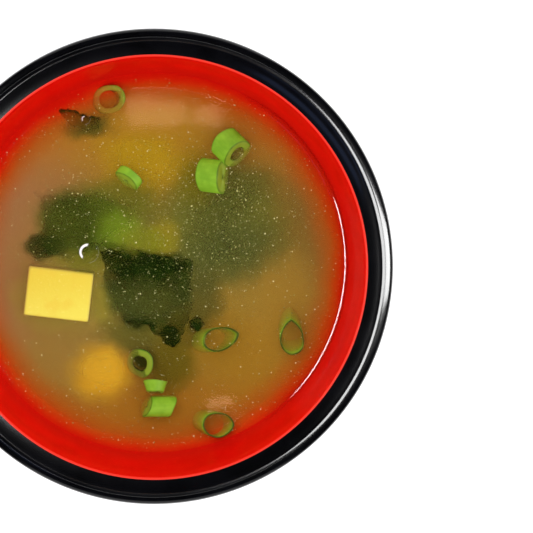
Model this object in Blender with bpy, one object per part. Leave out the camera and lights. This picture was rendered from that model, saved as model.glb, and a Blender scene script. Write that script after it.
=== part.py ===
"""Miso soup in its bowl: a turned bowl with a wide black rim, the soup up to its
level, a cube of tofu, three pieces of wakame and ten cut pieces of scallion.

The origin is the centre of the bowl's foot, on the surface that it stands on, with +Z up.
"""

import math
from collections import namedtuple

import bmesh
import bpy
from mathutils import Matrix, Vector

# Bowl
BOWL_RADIUS = 0.0601
BOWL_HEIGHT = 0.0618
EDGE_RADIUS = 0.0535  # where the red inside ends and the black rim begins
EDGE_HEIGHT = 0.0605
EDGE_ROUNDING = 0.0005
INSIDE_FLOOR = 0.0082
INSIDE_TOP = 0.0760  # height of the centre of the inside, which is half an ellipse
WALL = 0.0044
BAND_SLOPE = 16.0  # the black band climbs outwards to the crest
CREST_RADIUS = 0.0572  # the inner of the rim's two beads
CREST_ROUNDING = 0.0004
BEAD_TOP = 0.0609
BEAD_ROUNDING = 0.0016
NECK_HEIGHT = 0.0560  # where the outer wall leaves the bead
FOOT_RADIUS = 0.0300
FOOT_FLARE = 0.0010
FOOT_WIDTH = 0.0038
FOOT_ROUNDING = 0.0005
FOOT_RECESS = 0.0036  # height of the flat underside within the foot ring
SEGMENTS = 56

# Soup
SOUP_LEVEL = 0.0465
CREEP_HEIGHT = 0.0007  # the soup's edge climbs the wall
CREEP_WIDTH = 0.0011
CREEP_STEPS = (3.5, 1.5, 0.0)  # where its faces meet, in widths in from the wall
GAP = 0.0003  # between pieces that touch
MERGE = 0.000003

# Tofu
TOFU_SIZE = (0.0165, 0.0124, 0.0115)
TOFU_CENTRE = (-0.0247, -0.0077)
TOFU_TURN = -7.5
TOFU_LIFT = 0.0002
TOFU_ROUNDING = 0.0006

# Wakame, from corners in plan, which a leaf's own function bends and sinks
LEAF = 0.0006
LEAF_SPAN = 0.012  # a leaf's usual width, which turns the gap round it into a share of u and v
SHEET_TOP_LEFT = Vector((-0.0146, 0.0042, 0.0))
SHEET_TOP_RIGHT = Vector((0.0104, 0.0004, 0.0))
SHEET_LOW_LEFT = Vector((-0.0078, -0.0147, 0.0))
SHEET_LOW_RIGHT = Vector((0.0088, -0.0158, 0.0))
SHEET_BULGE = 0.0012
SHEET_TIP_X = 0.0042
SHEET_TIP_LENGTH = 0.0060
SHEET_TIP_WIDTH = 0.0034
SHEET_SINK = 0.0006
SHEET_RIPPLE = 0.5  # part of the sink that comes and goes in waves across the leaf
SHEET_WAVES = (9.0, 4.0)
LEAF_PROUD = LEAF / 3  # how much of a floating leaf's thickness stands out of the soup
CURL_START = (-0.0240, 0.03895)
CURL_LENGTH = 0.0100
CURL_BEND = 0.0010
CURL_DROP = 0.0036
CURL_REACH = 0.0052
CURL_WAVE = 0.0004
SCRAP_CENTRE = (0.0115, -0.0160)
SCRAP_SIZE = (0.0030, 0.0038)
SCRAP_ARCH = 0.0011
SCRAP_WAIST = 0.35

# Scallion. In millimetres: the centre in plan, the ring's width and depth, its wall and its
# length, and how far it stands out of the soup. In degrees: how far its axis leans and towards
# which bearing, and the bearing of its width. The last is how drawn out its pointed end is.
Scallion = namedtuple("Scallion", "x y width depth wall length lift lean toward turn point")
SCALLIONS = {
    "scallion_a": Scallion(-11.1, 42.2, 8.2, 6.8, 1.0, 2.4, 1.00, 7, 250, 20, 0.0),
    "scallion_b": Scallion(-6.9, 22.3, 6.4, 5.0, 1.0, 2.6, 1.30, 78, 232, 322, 0.0),
    "scallion_c": Scallion(19.7, 30.0, 7.8, 7.0, 1.8, 5.6, 2.20, 52, 315, 45, 0.0),
    "scallion_d": Scallion(14.7, 22.8, 8.4, 7.0, 1.7, 5.2, 2.10, 58, 357, 87, 0.0),
    "scallion_e": Scallion(16.6, -20.1, 9.3, 6.4, 0.6, 2.6, 1.10, 7, 350, 15, 0.0),
    "scallion_f": Scallion(35.3, -19.6, 8.8, 6.6, 0.6, 2.6, 1.20, 8, 270, 92, 0.24),
    "scallion_g": Scallion(16.1, -42.1, 7.4, 6.2, 0.6, 2.2, 1.00, 6, 10, 10, 0.0),
    "scallion_h": Scallion(-3.7, -25.7, 8.0, 7.4, 1.7, 2.6, 1.30, 10, 200, 60, 0.0),
    "scallion_i": Scallion(-0.2, -31.8, 6.4, 4.6, 1.0, 2.8, 1.30, 76, 268, 358, 0.0),
    "scallion_j": Scallion(0.6, -37.1, 5.6, 5.0, 1.2, 6.2, 1.70, 70, 186, 96, 0.0),
}
SCALLION_SIDES = 14
SCALLION_SOFTNESS = 0.3  # part of the wall's thickness that its upper edges are rounded by
MM = 0.001


def clear_scene():
    for old in list(bpy.data.objects):
        bpy.data.objects.remove(old)


def material(name, colour, roughness, metallic=0.0):
    """A plain finish. The colour is linear red, green and blue."""
    made = bpy.data.materials.new(name)
    made.use_nodes = True
    shader = made.node_tree.nodes["Principled BSDF"]
    shader.inputs["Base Color"].default_value = (*colour, 1.0)
    shader.inputs["Roughness"].default_value = roughness
    shader.inputs["Metallic"].default_value = metallic
    return made


def add_object(name, mesh, *materials):
    made = bpy.data.objects.new(name, mesh)
    bpy.context.scene.collection.objects.link(made)
    for finish in materials:
        mesh.materials.append(finish)
    mesh.shade_smooth()
    mesh.set_sharp_from_angle(angle=math.radians(40))
    return made


def mesh_from(name, shape):
    """Turns a bmesh into a mesh with its faces pointing out."""
    bmesh.ops.recalc_face_normals(shape, faces=shape.faces)
    mesh = bpy.data.meshes.new(name)
    shape.to_mesh(mesh)
    shape.free()
    return mesh


def arc(centre, radius, start, end, steps):
    """(radius, height) points round a centre. Angles are in degrees, with 0 pointing outwards."""
    points = []
    for step in range(steps + 1):
        angle = math.radians(start + (end - start) * step / steps)
        points.append((centre[0] + radius * math.cos(angle), centre[1] + radius * math.sin(angle)))
    return points


def wall_half_width():
    """Half the width of the ellipse that the bowl's inside follows."""
    rise = (INSIDE_TOP - EDGE_HEIGHT) / (INSIDE_TOP - INSIDE_FLOOR)
    return EDGE_RADIUS / math.sqrt(1 - rise**2)


def wall_radius(height, offset=0.0):
    """Radius of the bowl's inside at a height, or of the shape that lies offset outside it."""
    depth = INSIDE_TOP - INSIDE_FLOOR + offset
    return (wall_half_width() + offset) * math.sqrt(1 - ((INSIDE_TOP - height) / depth) ** 2)


def wall_height(radius, offset=0.0):
    depth = INSIDE_TOP - INSIDE_FLOOR + offset
    return INSIDE_TOP - depth * math.sqrt(1 - (radius / (wall_half_width() + offset)) ** 2)


def wall_slope(radius):
    """How steeply the bowl's inside climbs at a radius, in degrees."""
    turn = math.asin(radius / wall_half_width())
    depth = INSIDE_TOP - INSIDE_FLOOR
    return math.degrees(math.atan2(depth * math.sin(turn), wall_half_width() * math.cos(turn)))


def wall_points(start, end, steps, offset=0.0):
    """(radius, height) points along the wall between two radii, evenly turned."""
    half = wall_half_width() + offset
    first, last = math.asin(start / half), math.asin(end / half)
    depth = INSIDE_TOP - INSIDE_FLOOR + offset
    points = []
    for step in range(steps + 1):
        angle = first + (last - first) * step / steps
        points.append((half * math.sin(angle), INSIDE_TOP - depth * math.cos(angle)))
    return points


def rim_profile():
    """From the top of the red wall over the black band, the crest and the bead to the neck."""
    band_normal = 90 + BAND_SLOPE
    wall_normal = 90 + wall_slope(EDGE_RADIUS)
    lean = math.radians(wall_normal)
    edge_centre = (
        EDGE_RADIUS - EDGE_ROUNDING * math.cos(lean),
        EDGE_HEIGHT - EDGE_ROUNDING * math.sin(lean),
    )
    crest_centre = (CREST_RADIUS, BOWL_HEIGHT - CREST_ROUNDING)
    bead_centre = (BOWL_RADIUS - BEAD_ROUNDING, BEAD_TOP - BEAD_ROUNDING)
    points = arc(edge_centre, EDGE_ROUNDING, wall_normal, band_normal, 2)
    points += arc(crest_centre, CREST_ROUNDING, band_normal, 0, 3)
    points.append((CREST_RADIUS + CREST_ROUNDING, BEAD_TOP - CREST_ROUNDING / 3))
    points += arc(bead_centre, BEAD_ROUNDING, 95, -70, 5)
    return points


def foot_profile():
    """Down the outside of the foot, across the ring it stands on, and to the middle of its recess."""
    inner = FOOT_RADIUS - FOOT_WIDTH
    top = FOOT_RADIUS - FOOT_FLARE
    return [
        (top, wall_height(top, WALL)),
        (FOOT_RADIUS, FOOT_ROUNDING),
        (FOOT_RADIUS - FOOT_ROUNDING, 0.0),
        (inner + FOOT_ROUNDING, 0.0),
        (inner, FOOT_ROUNDING),
        (inner - FOOT_FLARE, FOOT_RECESS),
        (0.0, FOOT_RECESS),
    ]


def bowl_profile():
    foot = foot_profile()
    neck = wall_radius(NECK_HEIGHT, WALL)
    inside = wall_points(0.0, EDGE_RADIUS, 9)
    outside = wall_points(neck, foot[0][0], 7, WALL)
    return inside[:-1] + rim_profile() + outside[:-1] + foot


def turned_mesh(name, profile):
    """A closed solid turned about Z from a profile that starts and ends on the axis."""
    shape = bmesh.new()
    points = [shape.verts.new((radius, 0.0, height)) for radius, height in profile]
    edges = [shape.edges.new(pair) for pair in zip(points, points[1:])]
    bmesh.ops.spin(
        shape,
        geom=points + edges,
        axis=(0.0, 0.0, 1.0),
        cent=(0.0, 0.0, 0.0),
        angle=2 * math.pi,
        steps=SEGMENTS,
    )
    bmesh.ops.remove_doubles(shape, verts=shape.verts, dist=MERGE)
    return mesh_from(name, shape)


def build_bowl():
    black = material("black_lacquer", (0.004, 0.004, 0.005), 0.15)
    red = material("red_lacquer", (0.68, 0.005, 0.004), 0.2)
    bowl = add_object("bowl", turned_mesh("bowl", bowl_profile()), black, red)
    for face in bowl.data.polygons:
        spot = face.center
        radius = math.hypot(spot.x, spot.y)
        inside = spot.z < EDGE_HEIGHT and spot.z > INSIDE_FLOOR - GAP
        face.material_index = int(inside and radius < wall_radius(spot.z) + GAP)
    return bowl


def soup_profile():
    """Across the surface, up the creep at the wall, and down just inside the wall."""
    edge_height = SOUP_LEVEL + CREEP_HEIGHT
    edge = wall_radius(edge_height, -GAP)
    points = [(0.0, SOUP_LEVEL)]
    for back in CREEP_STEPS:
        rise = CREEP_HEIGHT * math.exp(-back)
        points.append((edge - back * CREEP_WIDTH, SOUP_LEVEL + rise))
    return points[:-1] + wall_points(edge, 0.0, 7, -GAP)


def build_soup():
    broth = material("miso_broth", (0.25, 0.14, 0.025), 0.1)
    return add_object("soup", turned_mesh("soup", soup_profile()), broth)


def cut_pocket(soup, mesh, place):
    """Cuts room in the soup for a piece that floats in it. The mesh is the piece grown by the gap."""
    cutter = bpy.data.objects.new("room_for_" + mesh.name, mesh)
    bpy.context.scene.collection.objects.link(cutter)
    cutter.matrix_world = place
    cutter.hide_render = True
    cutter.display_type = "WIRE"
    cut = soup.modifiers.new(cutter.name, "BOOLEAN")
    cut.operation = "DIFFERENCE"
    cut.object = cutter


def block_mesh(name, size, rounding, grow=0.0):
    """A block whose top face is at its origin, with rounded edges."""
    shape = bmesh.new()
    bmesh.ops.create_cube(shape, size=1.0)
    full = [length + 2 * grow for length in size]
    bmesh.ops.scale(shape, vec=full, verts=shape.verts)
    bmesh.ops.translate(shape, vec=(0.0, 0.0, grow - full[2] / 2), verts=shape.verts)
    bmesh.ops.bevel(
        shape,
        geom=list(shape.edges),
        offset=rounding + grow,
        segments=2,
        profile=0.5,
        affect="EDGES",
    )
    return mesh_from(name, shape)


def build_tofu(soup):
    curd = material("tofu", (0.86, 0.66, 0.18), 0.4)
    place = Matrix.Translation((*TOFU_CENTRE, SOUP_LEVEL + TOFU_LIFT))
    place = place @ Matrix.Rotation(math.radians(TOFU_TURN), 4, "Z")
    tofu = add_object("tofu_cube", block_mesh("tofu_cube", TOFU_SIZE, TOFU_ROUNDING), curd)
    tofu.matrix_world = place
    cut_pocket(soup, block_mesh("tofu", TOFU_SIZE, TOFU_ROUNDING, GAP), place)


def leaf_mesh(name, surface, columns, rows, grow=0.0):
    """A closed sheet of leaf round surface(u, v), which gives its middle for u and v from 0 to 1."""
    reach = grow / LEAF_SPAN
    half = LEAF / 2 + grow
    shape = bmesh.new()
    faces = []
    for side in (half, -half):
        grid = []
        for row in range(rows + 1):
            v = -reach + (1 + 2 * reach) * row / rows
            line = []
            for column in range(columns + 1):
                u = -reach + (1 + 2 * reach) * column / columns
                line.append(shape.verts.new(surface(u, v) + Vector((0.0, 0.0, side))))
            grid.append(line)
        faces.append(grid)
    top, bottom = faces
    for grid in faces:
        for row in range(rows):
            for column in range(columns):
                shape.faces.new(
                    (
                        grid[row][column],
                        grid[row][column + 1],
                        grid[row + 1][column + 1],
                        grid[row + 1][column],
                    )
                )
    border = [(0, column) for column in range(columns)]
    border += [(row, columns) for row in range(rows)]
    border += [(rows, columns - column) for column in range(columns)]
    border += [(rows - row, 0) for row in range(rows)]
    for here, after in zip(border, border[1:] + border[:1]):
        shape.faces.new(
            (
                top[here[0]][here[1]],
                top[after[0]][after[1]],
                bottom[after[0]][after[1]],
                bottom[here[0]][here[1]],
            )
        )
    return mesh_from(name, shape)


def sheet_surface(u, v):
    """The broad leaf: its left and back edges lie in the surface and its right end sinks."""
    left = SHEET_TOP_LEFT.lerp(SHEET_LOW_LEFT, v)
    right = SHEET_TOP_RIGHT.lerp(SHEET_LOW_RIGHT, v)
    spot = left.lerp(right, u)
    spot.x -= SHEET_BULGE * math.sin(math.pi * min(max(v, 0.0), 1.0)) * (1 - u)
    off_tip = (spot.x - SHEET_TIP_X) / SHEET_TIP_WIDTH
    spot.y -= SHEET_TIP_LENGTH * v**3 * math.exp(-(off_tip**2))
    ripple = SHEET_RIPPLE * u * v * math.sin(SHEET_WAVES[0] * u + SHEET_WAVES[1] * v)
    spot.z = SOUP_LEVEL + LEAF_PROUD - LEAF / 2 - SHEET_SINK * (u**3 + ripple) / 2
    return spot


def curl_surface(u, v):
    """The small leaf: its upper edge breaks the surface and its blade hangs below."""
    x = CURL_START[0] + CURL_LENGTH * u
    y = CURL_START[1] + CURL_BEND * math.cos(math.pi * u) - CURL_REACH * v
    z = SOUP_LEVEL - CURL_DROP * v - CURL_WAVE * math.sin(math.pi * u)
    return Vector((x, y, z))


def scrap_surface(u, v):
    """A torn scrap of leaf, arched over its length and narrower at its two ends."""
    across, along = 2 * u - 1, 2 * v - 1
    narrow = 1 - SCRAP_WAIST * along**2
    x = SCRAP_CENTRE[0] + SCRAP_SIZE[0] / 2 * across * narrow
    y = SCRAP_CENTRE[1] + SCRAP_SIZE[1] / 2 * along
    return Vector((x, y, SOUP_LEVEL + LEAF_PROUD - LEAF / 2 - SCRAP_ARCH * across**2))


def build_wakame(soup):
    leaf = material("wakame", (0.010, 0.018, 0.004), 0.3)
    for name, surface, columns, rows in (
        ("wakame_sheet", sheet_surface, 9, 7),
        ("wakame_curl", curl_surface, 8, 4),
        ("wakame_scrap", scrap_surface, 4, 4),
    ):
        add_object(name, leaf_mesh(name, surface, columns, rows), leaf)
        cut_pocket(soup, leaf_mesh(name, surface, columns, rows, GAP), Matrix.Identity(4))


def ring_mesh(name, ring, grow=0.0):
    """A cut piece of scallion about Z: an oval tube with its upper edges rounded."""
    width, depth = ring.width * MM / 2 + grow, ring.depth * MM / 2 + grow
    wall = ring.wall * MM + 2 * grow
    half = ring.length * MM / 2 + grow
    soft = SCALLION_SOFTNESS * wall
    section = (
        (0.0, -half),
        (0.0, half - soft),
        (soft, half),
        (wall - soft, half),
        (wall, half - soft),
        (wall, -half),
    )
    shape = bmesh.new()
    loops = []
    for side in range(SCALLION_SIDES):
        angle = 2 * math.pi * side / SCALLION_SIDES
        drawn = 1 + ring.point * ((1 + math.cos(angle)) / 2) ** 4
        loops.append(
            [
                shape.verts.new(
                    (
                        (width * drawn - inset) * math.cos(angle),
                        (depth - inset) * math.sin(angle),
                        height,
                    )
                )
                for inset, height in section
            ]
        )
    for here, after in zip(loops, loops[1:] + loops[:1]):
        for corner in range(len(section)):
            upper = (corner + 1) % len(section)
            shape.faces.new((here[corner], after[corner], after[upper], here[upper]))
    return mesh_from(name, shape)


def ring_place(ring, mesh):
    """Where a ring floats: leaned over, and sunk until only its lift stands out of the soup."""
    toward = Matrix.Rotation(math.radians(ring.toward), 4, "Z")
    lean = Matrix.Rotation(math.radians(ring.lean), 4, "Y")
    turn = Matrix.Rotation(math.radians(ring.turn - ring.toward), 4, "Z")
    pose = toward @ lean @ turn
    highest = max((pose @ point.co).z for point in mesh.vertices)
    height = SOUP_LEVEL + ring.lift * MM - highest
    return Matrix.Translation((ring.x * MM, ring.y * MM, height)) @ pose


def build_scallions(soup):
    green = material("scallion", (0.22, 0.42, 0.03), 0.35)
    for name, ring in SCALLIONS.items():
        mesh = ring_mesh(name, ring)
        place = ring_place(ring, mesh)
        piece = add_object(name, mesh, green)
        piece.matrix_world = place
        cut_pocket(soup, ring_mesh(name + "_room", ring, GAP), place)


clear_scene()
build_bowl()
soup_body = build_soup()
build_tofu(soup_body)
build_wakame(soup_body)
build_scallions(soup_body)
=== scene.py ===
"""Miso soup in its lacquered bowl: the looks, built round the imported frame.

Sizes are in metres and the frame's +Z is up. MM turns a size in millimetres into metres.
"""

import math
import random

import bpy
import numpy as np
from mathutils import Euler, Matrix, Vector


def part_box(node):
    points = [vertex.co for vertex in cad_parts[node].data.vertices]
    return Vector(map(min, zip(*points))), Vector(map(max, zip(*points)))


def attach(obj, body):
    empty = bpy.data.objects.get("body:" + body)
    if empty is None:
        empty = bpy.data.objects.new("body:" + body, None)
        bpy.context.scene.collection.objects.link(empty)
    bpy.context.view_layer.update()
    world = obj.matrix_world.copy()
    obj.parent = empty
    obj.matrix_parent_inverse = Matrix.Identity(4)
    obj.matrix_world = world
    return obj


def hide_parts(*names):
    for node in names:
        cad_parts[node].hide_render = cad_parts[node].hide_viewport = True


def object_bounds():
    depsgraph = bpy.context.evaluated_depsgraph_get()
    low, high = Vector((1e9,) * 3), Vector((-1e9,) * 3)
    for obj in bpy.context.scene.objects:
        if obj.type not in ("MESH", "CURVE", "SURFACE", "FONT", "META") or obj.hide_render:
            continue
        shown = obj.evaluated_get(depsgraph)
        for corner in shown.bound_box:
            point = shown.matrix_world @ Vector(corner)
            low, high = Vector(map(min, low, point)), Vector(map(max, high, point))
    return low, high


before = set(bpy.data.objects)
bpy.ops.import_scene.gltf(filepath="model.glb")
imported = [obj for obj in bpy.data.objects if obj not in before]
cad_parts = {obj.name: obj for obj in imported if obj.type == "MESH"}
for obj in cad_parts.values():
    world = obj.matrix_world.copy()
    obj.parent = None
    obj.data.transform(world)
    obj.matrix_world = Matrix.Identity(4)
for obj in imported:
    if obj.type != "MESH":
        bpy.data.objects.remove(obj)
cad_low, cad_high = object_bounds()
MM = 0.001


# ---------------------------------------------------------------------------------------------
# Table and camera. The bowl stands on a smooth pale table top, wide enough to run out of sight,
# and is looked at from almost straight above, from a little towards its far side.

TABLE_WIDTH = 6.0
TABLE_WHITE = (0.93, 0.93, 0.93, 1.0)
TABLE_GLOW = 0.25  # it is lit from below, so that hardly any shadow falls on it
EYE = Vector((0.0, 0.04184, 0.55875))
LOOKED_AT = Vector((0.0279, 0.0005, 0.0605))
LENS = 134.2


def deselect():
    """Object mode with nothing selected, which every operator below starts from."""
    if bpy.context.object and bpy.context.object.mode != "OBJECT":
        bpy.ops.object.mode_set(mode="OBJECT")
    bpy.ops.object.select_all(action="DESELECT")


deselect()
bpy.ops.mesh.primitive_plane_add(size=TABLE_WIDTH, location=(0.0, 0.0, cad_low.z))
table = bpy.context.object
table.name = "table_top"
bpy.ops.object.mode_set(mode="EDIT")
bpy.ops.mesh.inset(thickness=TABLE_WIDTH / 20)
bpy.ops.object.mode_set(mode="OBJECT")
bpy.ops.object.transform_apply()
table_paint = bpy.data.materials.new("table white")
table_paint.use_nodes = True
table_shader = table_paint.node_tree.nodes["Principled BSDF"]
table_shader.inputs["Base Color"].default_value = TABLE_WHITE
table_shader.inputs["Roughness"].default_value = 0.8
table_shader.inputs["Specular IOR Level"].default_value = 0.0
table_shader.inputs["Emission Color"].default_value = TABLE_WHITE
table_shader.inputs["Emission Strength"].default_value = TABLE_GLOW
table.data.materials.append(table_paint)

look = (LOOKED_AT - EYE).normalized()
tip = math.asin(look.y)
swing = -math.asin(look.x / math.cos(tip))
bpy.ops.object.camera_add(location=EYE, rotation=(tip, swing, 0.0))
camera = bpy.context.object
camera.data.lens = LENS
camera.data.clip_start = 0.01
bpy.context.scene.camera = camera
bpy.context.scene.view_settings.view_transform = "Standard"


# ---------------------------------------------------------------------------------------------
# Studio light. A white room lights everything evenly. Soft boxes give the gloss: they are seen
# in the lacquer and in the broth, and a bearing of 0 is +X, turning towards +Y.

ROOM_STRENGTH = 1.30
SOUP_MIDDLE = Vector((0.0, 0.0, 0.05))


def soft_box(name, bearing, height, distance, width, tall, strength, colour, lights_things=False):
    """A rectangular light that faces the soup. Bearing and height are angles in degrees."""
    around, up = math.radians(bearing), math.radians(height)
    away = Vector((math.cos(around) * math.cos(up), math.sin(around) * math.cos(up), math.sin(up)))
    turn = away.to_track_quat("Z", "Y").to_euler()
    bpy.ops.object.light_add(type="AREA", location=SOUP_MIDDLE + away * distance, rotation=turn)
    box = bpy.context.object
    box.name = name
    box.data.shape = "RECTANGLE"
    box.data.size = width
    box.data.size_y = tall
    box.data.energy = strength * width * tall * math.pi
    box.data.color = colour
    box.visible_camera = False
    box.visible_glossy = not lights_things
    box.visible_diffuse = lights_things
    return box


room = bpy.data.worlds.new("white room")
bpy.context.scene.world = room
room.use_nodes = True
room.node_tree.nodes["Background"].inputs["Color"].default_value = (1.0, 1.0, 1.0, 1.0)
room.node_tree.nodes["Background"].inputs["Strength"].default_value = ROOM_STRENGTH
room.cycles_visibility.glossy = False

soft_box("overhead", 100, 72, 1.2, 0.9, 0.9, 0.35, (1.0, 0.99, 0.97), lights_things=True)
soft_box("skylight", -16, 72, 1.2, 0.62, 0.30, 19.0, (1.0, 1.0, 1.0))
soft_box("window", -3, 44, 1.2, 0.36, 0.78, 24.0, (1.0, 1.0, 1.0))
soft_box("window left", 173, 44, 1.2, 1.1, 0.14, 15.0, (1.0, 1.0, 1.0))
soft_box("blue wall", 228, 56, 1.2, 0.44, 0.13, 0.7, (0.35, 0.5, 1.0))
soft_box("front wall", 270, 12, 1.4, 1.6, 0.5, 0.8, (1.0, 1.0, 1.0))
soft_box("back wall", 90, 12, 1.4, 1.6, 0.5, 0.8, (1.0, 1.0, 1.0))


def ceiling_light(name, left, right, near, far, strength):
    """A small warm light high over the soup, which shows in it between these sides."""
    rise = 1.5
    spread = 1 + rise / (EYE.z - SOUP_MIDDLE.z)
    middle = Vector(((left + right) / 2 * MM, (near + far) / 2 * MM, 0.0))
    place = EYE + (middle - EYE) * spread
    place.z = SOUP_MIDDLE.z + rise
    bpy.ops.object.light_add(type="AREA", location=place)
    light = bpy.context.object
    light.name = name
    light.data.shape = "RECTANGLE"
    light.data.size = (right - left) * MM * spread
    light.data.size_y = (far - near) * MM * spread
    light.data.energy = strength * light.data.size * light.data.size_y * math.pi
    light.data.color = (1.0, 0.5, 0.27)
    light.visible_camera = False
    light.visible_diffuse = False


ceiling_light("ceiling light", -7.2, 7.3, 36.4, 42.2, 8.0)
ceiling_light("ceiling light right", 9.4, 16.9, 35.6, 41.0, 8.0)
ceiling_light("ceiling light near", 13.0, 20.0, -37.7, -34.8, 12.0)


# ---------------------------------------------------------------------------------------------
# Bowl. A moulded bowl, black outside and over its broad rim, with a sloping band, a sharp crest
# and a round bead. Its inside is sprayed red, in a coat whose rounded lip ends at the band.

BOWL_LOW, BOWL_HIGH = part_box("bowl")
BOWL_RADIUS = BOWL_HIGH.x
BOWL_HEIGHT = BOWL_HIGH.z
EDGE_RADIUS = 53.5 * MM
EDGE_HEIGHT = 60.5 * MM
INSIDE_FLOOR = 8.2 * MM
INSIDE_TOP = 76.0 * MM
WALL = 4.4 * MM
LIP_ROUNDING = 0.6 * MM
LINING = 0.6 * MM
BAND_SLOPES = (12.0, 13.5, 15.0, 17.0, 19.0)  # the band hollows: it steepens outwards
CREST_RADIUS = 57.15 * MM
CREST_INNER = 0.9 * MM  # rounding between the band and the crest's top
CREST_CROWN = 6.0 * MM  # rounding of its top, which is nearly flat
CREST_OUTER = 0.15 * MM
CREST_TURNS = (88, 82)  # degrees above level where one rounding turns into the next
BEAD_HEIGHT = 59.35 * MM  # middle of the bead's outer rounding
BEAD_ROUNDING = 1.1 * MM
BEAD_CROWN = 3.4 * MM  # rounding of its broad top
BEAD_START = 80.0
BEAD_SHOULDER = 52.0  # degrees above level where the one rounding turns into the other
NECK_HEIGHT = 56.0 * MM
FOOT_RADIUS = 30.0 * MM
FOOT_FLARE = 1.0 * MM
FOOT_WIDTH = 3.8 * MM
FOOT_ROUNDING = 0.6 * MM
FOOT_RECESS = 3.6 * MM
SEGMENTS = 192


def srgb(code):
    """A colour code such as ff8000 as the linear colour that shaders work in."""
    parts = [int(code[place : place + 2], 16) / 255 for place in (0, 2, 4)]
    return tuple(c / 12.92 if c < 0.04045 else ((c + 0.055) / 1.055) ** 2.4 for c in parts) + (1.0,)


class Wire:
    """A number on a shader's wire, which Python's own operators work on."""

    def __init__(self, bench, socket):
        self.bench = bench
        self.socket = socket

    def maths(self, operation, *others, **settings):
        inputs = dict(enumerate((self, *others)))
        return self.bench.node("ShaderNodeMath", {"operation": operation, **settings}, inputs)

    def __add__(self, other):
        return self.maths("ADD", other)

    def __radd__(self, other):
        return self.maths("ADD", other)

    def __sub__(self, other):
        return self.maths("SUBTRACT", other)

    def __rsub__(self, other):
        return (self * -1).maths("ADD", other)

    def __mul__(self, other):
        return self.maths("MULTIPLY", other)

    def __rmul__(self, other):
        return self.maths("MULTIPLY", other)

    def __truediv__(self, other):
        return self.maths("DIVIDE", other)

    def __pow__(self, other):
        return self.maths("POWER", other)

    def within(self, low, high):
        """0 below low and 1 above high, with a soft step between. Low may be above high."""
        settings = {"interpolation_type": "SMOOTHSTEP"}
        if low > high:
            return 1 - self.within(high, low)
        inputs = {"Value": self, "From Min": low, "From Max": high}
        return self.bench.node("ShaderNodeMapRange", settings, inputs)


class Bench:
    """Builds the nodes of one material or one shared group."""

    def __init__(self, tree):
        self.tree = tree

    def node(self, kind, settings=None, inputs=None, output=0):
        """Adds a node, makes its settings, then fills its inputs, and gives one of its outputs."""
        made = self.tree.nodes.new(kind)
        for name, value in (settings or {}).items():
            setattr(made, name, value)
        for name, value in (inputs or {}).items():
            self.plug(made.inputs[name], value)
        return Wire(self, made.outputs[output])

    def plug(self, socket, value):
        if isinstance(value, Wire):
            self.tree.links.new(value.socket, socket)
        else:
            socket.default_value = value

    def spot(self):
        """The place on the piece, in millimetres, as a vector and as its three numbers."""
        place = self.node("ShaderNodeTexCoord", output="Object")
        inputs = {0: place, "Scale": 1 / MM}
        place = self.node("ShaderNodeVectorMath", {"operation": "SCALE"}, inputs)
        axes = self.node("ShaderNodeSeparateXYZ", None, {0: place}).socket.node.outputs
        return place, *(Wire(self, axis) for axis in axes)

    def noise(self, place, size, detail=2.0, rough=0.5):
        """Soft unevenness from 0 to 1, whose blobs are about size across."""
        inputs = {"Vector": place, "Scale": 1 / size, "Detail": detail, "Roughness": rough}
        return self.node("ShaderNodeTexNoise", None, inputs)

    def mix(self, first, second, share, way="MIX"):
        """Two colours mixed. The share is how much there is of the second."""
        settings = {"data_type": "RGBA", "blend_type": way}
        return self.node("ShaderNodeMix", settings, {0: share, 6: first, 7: second}, output=2)

    def bump(self, height, deep):
        inputs = {"Height": height, "Distance": deep, "Strength": 1.0}
        return self.node("ShaderNodeBump", None, inputs)


def new_material(name):
    """A Principled material, as the material, its bench and a function that fills its sockets."""
    material = bpy.data.materials.new(name)
    material.use_nodes = True
    bench = Bench(material.node_tree)
    shader = material.node_tree.nodes["Principled BSDF"]

    def fill(**sockets):
        for socket, value in sockets.items():
            bench.plug(shader.inputs[socket.replace("_", " ")], value)

    return material, bench, fill


def arc(centre, radius, start, end, steps):
    """Points round a centre, with angles in degrees and 0 pointing outwards."""
    turns = [math.radians(start + (end - start) * step / steps) for step in range(steps + 1)]
    return [(centre[0] + radius * math.cos(t), centre[1] + radius * math.sin(t)) for t in turns]


def wall_half_width():
    rise = (INSIDE_TOP - EDGE_HEIGHT) / (INSIDE_TOP - INSIDE_FLOOR)
    return EDGE_RADIUS / math.sqrt(1 - rise**2)


def wall_radius(height, offset=0.0):
    """Radius of the bowl's inside at a height, or of the shape that lies offset outside it."""
    depth = INSIDE_TOP - INSIDE_FLOOR + offset
    return (wall_half_width() + offset) * math.sqrt(1 - ((INSIDE_TOP - height) / depth) ** 2)


def wall_points(start, end, steps, offset=0.0):
    """(radius, height) points along the wall between two radii."""
    half = wall_half_width() + offset
    first, last = math.asin(start / half), math.asin(end / half)
    turns = [first + (last - first) * step / steps for step in range(steps + 1)]
    depth = INSIDE_TOP - INSIDE_FLOOR + offset
    return [(half * math.sin(turn), INSIDE_TOP - depth * math.cos(turn)) for turn in turns]


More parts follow.
